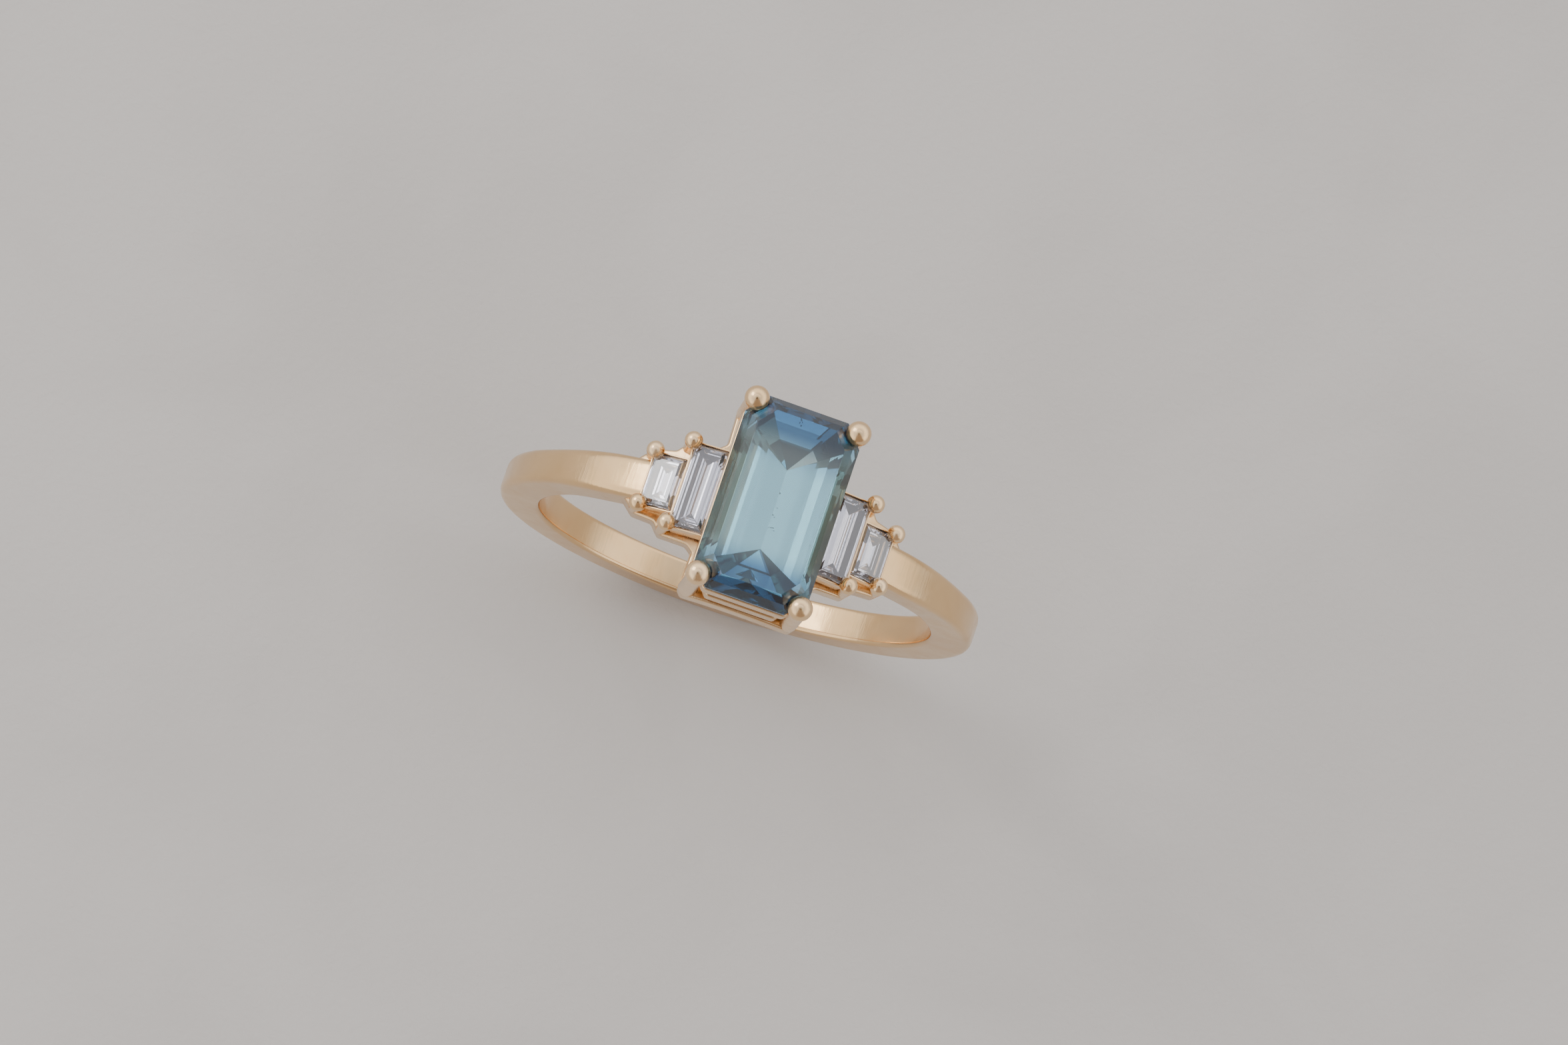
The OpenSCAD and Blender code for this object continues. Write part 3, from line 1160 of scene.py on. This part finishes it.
@dataclass
class Shank:
    """The plain band: flat outside, soft edges, wider shoulders, let in for the collets."""

    finger_r: float
    outer_seats: tuple[BaguetteSeat, BaguetteSeat]
    back_w: float = 1.4
    outer_edge: float = 0.36
    inner_edge: float = 0.2
    flare_low_z: float = 4.6
    flare_high_z: float = 8.1
    seat_drop: float = 0.4
    flat_reach: float = 0.4
    wall_step: float = 0.0008
    even_angles: int = 480

    def __post_init__(self) -> None:
        """Take the outer radius and the shoulder width from the CAD node's box."""
        span = node_span("shank")
        self.outer_r = span[0] / 2
        self.shoulder_w = span[1]

    def outer_radius(self, angle: Array) -> Array:
        """Return the outer face's distance from the centre at each angle from the top.

        It is the least of the plain radius, the flat under the head and the floors of the
        two notches. A flat or floor that stands at distance d and faces angle f is met at
        d divided by the cosine of the angle minus f.

        Args:
            angle: Angles from the top towards the right shoulder, in radians.

        Returns:
            The radius at each angle.
        """
        # The least cosine only keeps the division safe, far outside the flat.
        flat = (self.outer_r - self.seat_drop) / np.maximum(np.cos(angle), 0.5)
        near = np.abs(angle) < self.flat_reach
        radius = np.minimum(self.outer_r, np.where(near, flat, self.outer_r))
        for seat in self.outer_seats:
            facing, floor, reach = self.notch(seat)
            away = angle - facing
            inside = (np.abs(np.tan(away)) < reach) & (np.cos(away) > 0)
            radius = np.where(inside, np.minimum(radius, floor / np.cos(away)), radius)
        return radius

    def notch(self, seat: BaguetteSeat) -> tuple[float, float, float]:
        """Measure the notch that an outer collet stands in.

        Args:
            seat: The outer baguette's seat.

        Returns:
            The angle that the floor faces, its distance from the centre, and the tangent of
            half the angle that the notch spans.
        """
        facing = seat.sign * math.radians(seat.lean)
        normal = np.array([math.sin(facing), 0, math.cos(facing)])
        floor = seat.centre @ normal - seat.collet_height
        return facing, floor, (seat.width / 2 + seat.side_wall) / floor

    def angles(self) -> Array:
        """Choose the section's angles: even all round, with close pairs at the notches' walls.

        Returns:
            The angles in order, in radians.
        """
        even = np.linspace(-np.pi, np.pi, self.even_angles + 1)[:-1]
        walls = []
        for seat in self.outer_seats:
            facing, _, tangent = self.notch(seat)
            reach = math.atan(tangent)
            for step in (-self.wall_step, self.wall_step):
                walls += [facing + side * reach + step for side in (-1, 1)]
        return np.unique(np.concatenate([even, walls]))

    def surface(self) -> Surface:
        """Carry a softened rectangle round the finger.

        The section's half width grows from the back's to the shoulders' along a smooth step
        of the height, and its outer radius follows the notches.

        Returns:
            The closed surface.
        """
        angle = self.angles()
        outer = self.outer_radius(angle)
        height = self.outer_r * np.cos(angle)
        grow = smooth_step(height, self.flare_low_z, self.flare_high_z)
        half = (self.back_w + (self.shoulder_w - self.back_w) * grow) / 2
        inner = np.full_like(half, self.finger_r)
        corners = corner_rows((inner, outer, outer, inner), (-half, -half, half, half))
        reach = np.array([self.inner_edge, self.outer_edge, self.outer_edge, self.inner_edge])
        section = softened(corners, reach, steps=10)
        radius, y = section[..., 0], section[..., 1]
        x, z = radius * np.sin(angle)[:, None], radius * np.cos(angle)[:, None]
        rings = np.stack([x, y, z], axis=-1)
        return ring_tube(rings, closed=True)

    def build(self, finishes: Finishes) -> None:
        """Add the band."""
        add_piece("shank_band", self.surface(), finishes.shank, ("shank",))


# ---- studio


def direction(azimuth: float, elevation: float) -> Array:
    """Return the unit vector towards an azimuth from the front and an elevation, in degrees."""
    a, e = math.radians(azimuth), math.radians(elevation)
    return np.array([math.sin(a) * math.cos(e), -math.cos(a) * math.cos(e), math.sin(e)])


@dataclass(frozen=True)
class Viewpoint:
    """Where the camera stands: high over the head, a little to the left, and rolled."""

    azimuth: float = -18.4
    elevation: float = 78.0
    roll: float = 37.4
    distance: float = 250.0
    lens: float = 149.2
    aim_z: float = 11.0
    aim_right: float = 0.42
    aim_up: float = -0.46

    def axes(self) -> tuple[Array, Array, Array]:
        """Work out the camera's directions from its azimuth, elevation and roll.

        Returns:
            Its right, up and back directions in the ring's frame.
        """
        a, r = math.radians(self.azimuth), math.radians(self.roll)
        back = direction(self.azimuth, self.elevation)
        level = np.array([math.cos(a), math.sin(a), 0.0])
        rise = np.cross(back, level)
        right = math.cos(r) * level + math.sin(r) * rise
        up = -math.sin(r) * level + math.cos(r) * rise
        return right, up, back

    def build(self) -> None:
        """Add the camera and make it the scene's."""
        right, up, back = self.axes()
        aim = np.array([0, 0, self.aim_z]) + self.aim_right * right + self.aim_up * up
        data = bpy.data.cameras.new("camera")
        data.lens = self.lens
        data.sensor_width = 36.0
        data.clip_start, data.clip_end = 0.01, 10.0
        camera = bpy.data.objects.new("camera", data)
        turn = Matrix(np.stack([right, up, back], axis=1).tolist()).to_4x4()
        camera.matrix_world = Matrix.Translation(Vector((aim + back * self.distance) * MM)) @ turn
        bpy.context.scene.collection.objects.link(camera)
        bpy.context.scene.camera = camera


@dataclass(frozen=True)
class StudioDome:
    """A soft white dome, brighter half way down, with a dim gap where the viewer stands.

    A span is a pair of coordinates between which a part of the dome fades in.
    """

    viewpoint: Viewpoint
    overhead_left: Colour = (1.20, 1.20, 1.26)
    overhead_right: Colour = (0.95, 0.97, 1.03)
    bays: float = 26.0
    bay_depth: float = 0.3
    panels: Colour = (1.80, 1.75, 1.70)
    arch: Colour = (2.0, 2.0, 2.03)
    dim: Colour = (0.42, 0.34, 0.29)
    lens: Colour = (0.04, 0.035, 0.03)
    strength: float = 1.0
    bay_fade: Span = (-0.40, 0.50)
    panel_onset: Span = (0.80, 0.45)
    floor_fade: Span = (-0.10, 0.25)
    arch_low: Span = (0.83, 0.85)
    arch_high: Span = (0.905, 0.885)
    arch_rise: Span = (0.08, 0.20)
    lens_disc: Span = (0.982, 0.992)
    lens_reach: float = 0.16
    lens_fade: float = 0.12
    body_half: float = 0.2
    body_spread: float = 0.5
    body_fade: Span = (0.12, -0.10)
    body_facing: Span = (0.0, 0.15)

    def build(self) -> None:
        """Draw the dome in the world's nodes.

        With right, up and back as coordinates of a direction, the panels' share rises as
        the back coordinate falls, and drops again towards the floor. Overhead the light fades
        from left to right, with a sine of the right coordinate added for its bays. The arched
        strip light stands in a band of the back coordinate, above the camera. The gap is where
        the sideways distance is less than a half width that grows downwards, below the lens.
        """
        world = bpy.data.worlds.new("studio_dome")
        world.use_nodes = True
        bpy.context.scene.world = world
        sheet = NodeSheet(world.node_tree)
        world.node_tree.nodes.clear()
        place = sheet.add("ShaderNodeTexCoord").outputs["Generated"]
        sideways, upward, towards = (self.dot(sheet, place, a) for a in self.viewpoint.axes())
        low = sheet.ramp(towards, *self.floor_fade)
        panel = sheet.math("MULTIPLY", sheet.ramp(towards, *self.panel_onset), low)
        down = sheet.math("MAXIMUM", sheet.math("MULTIPLY", upward, -1.0), 0.0)
        half = sheet.math("ADD", sheet.math("MULTIPLY", down, self.body_spread), self.body_half)
        over = sheet.math("SUBTRACT", sheet.math("ABSOLUTE", sideways), half)
        body = sheet.ramp(over, *self.body_fade)
        below = sheet.ramp(upward, self.lens_reach, self.lens_reach - self.lens_fade)
        facing = sheet.ramp(towards, *self.body_facing)
        gap = sheet.math("MULTIPLY", sheet.math("MULTIPLY", body, below), facing)
        ripple = sheet.math("SINE", sheet.math("MULTIPLY", sideways, self.bays))
        across = sheet.ramp(sideways, *self.bay_fade)
        across = sheet.math("ADD", across, sheet.math("MULTIPLY", ripple, self.bay_depth))
        overhead = sheet.blend(across, self.overhead_left, self.overhead_right)
        colour = sheet.blend(gap, sheet.blend(panel, overhead, self.panels), self.dim)
        arc = sheet.math(
            "MULTIPLY", sheet.ramp(towards, *self.arch_low), sheet.ramp(towards, *self.arch_high)
        )
        arc = sheet.math("MULTIPLY", arc, sheet.ramp(upward, *self.arch_rise))
        colour = sheet.blend(arc, colour, self.arch)
        colour = sheet.blend(sheet.ramp(towards, *self.lens_disc), colour, self.lens)
        glow = sheet.add("ShaderNodeBackground", in_Strength=self.strength, in_Color=colour)
        sheet.add("ShaderNodeOutputWorld", in_Surface=glow.outputs["Background"])

    @staticmethod
    def dot(sheet: NodeSheet, place: Socket, axis: Array) -> Socket:
        """Measure how far the dome's direction lies along an axis.

        Args:
            sheet: The world's node sheet.
            place: The dome's direction.
            axis: The axis, of length 1.

        Returns:
            The dot product of the two.
        """
        node = sheet.add("ShaderNodeVectorMath", operation="DOT_PRODUCT")
        sheet.feed(node.inputs[0], place)
        sheet.feed(node.inputs[1], axis.tolist())
        return node.outputs["Value"]


@dataclass(frozen=True)
class SoftLight:
    """A square studio softbox that faces the head."""

    name: str = "key_softbox"
    azimuth: float = -110.0
    elevation: float = 38.0
    distance: float = 260.0
    size: float = 110.0
    power: float = 0.15
    colour: Colour = (1.0, 0.98, 0.95)

    def build(self) -> None:
        """Add the light."""
        out = Vector(direction(self.azimuth, self.elevation))
        data = bpy.data.lights.new(self.name, "AREA")
        data.size = self.size * MM
        data.energy = self.power
        data.color = self.colour
        light = bpy.data.objects.new(self.name, data)
        light.location = out * self.distance * MM
        light.rotation_mode = "QUATERNION"
        light.rotation_quaternion = out.to_track_quat("Z", "Y")
        bpy.context.scene.collection.objects.link(light)


@dataclass(frozen=True)
class Floor:
    """A pale plain floor under the ring."""

    half: float = 700.0
    cells: int = 24

    def build(self, finishes: Finishes) -> None:
        """Lay the floor as a flat grid at the ring's lowest point.

        Args:
            finishes: The ring's materials, with the floor's among them.
        """
        line = np.linspace(-self.half, self.half, self.cells + 1)
        x, y = np.meshgrid(line, line, indexing="ij")
        z = np.full_like(x, CAD_BOX[0][2] / MM)
        points = np.stack([x, y, z], axis=-1).reshape(-1, 3) * MM
        r, c = np.meshgrid(np.arange(self.cells), np.arange(self.cells), indexing="ij")
        n = self.cells + 1
        quads = np.stack([r * n + c, (r + 1) * n + c, (r + 1) * n + c + 1, r * n + c + 1], axis=-1)
        mesh = bpy.data.meshes.new("floor")
        mesh.from_pydata(points.tolist(), [], quads.reshape(-1, 4).tolist())
        mesh.materials.append(finishes.plaster)
        floor = bpy.data.objects.new("floor", mesh)
        bpy.context.scene.collection.objects.link(floor)


def main() -> None:
    """Build the ring, the camera and the studio."""
    logging.basicConfig(level=logging.INFO, format="%(name)s: %(message)s")
    mount = next(m for m in frame["record"]["mounts"] if m["name"] == "finger_bore")
    finger_r = mount["dims"]["r_mm"]

    viewpoint = Viewpoint()
    viewpoint.build()
    stone = CentreStone()
    finishes = Finishes((stone.cut.width / 2, stone.cut.length / 2))
    stone.build(finishes)

    seats = {
        (side, step): BaguetteSeat(side, step, lean, height)
        for side in ("left", "right")
        for step, lean, height in BAGUETTE_STEPS
    }
    for seat in seats.values():
        seat.build(finishes)
    for node in ("head_rail", "base_rail"):
        HeadRail(node, stone).build(finishes)
    for corner in ("nw", "ne", "sw", "se"):
        BallClaw(f"claw_{corner}", CLAW_BALL, CLAW_WIRE, stone.planes).build(finishes)
    for (side, step), seat in seats.items():
        for end in ("n", "s"):
            node = f"{side}_{step}_prong_{end}"
            BallClaw(node, BEAD_BALL, BEAD_WIRE, seat.planes).build(finishes)
    for node, end in (("gallery_north", 1), ("gallery_south", -1)):
        GalleryRail(node, end).build(finishes)
    Shank(finger_r, (seats["left", "outer"], seats["right", "outer"])).build(finishes)

    Floor().build(finishes)
    StudioDome(viewpoint).build()
    SoftLight().build()


if __name__ == "__main__":
    main()
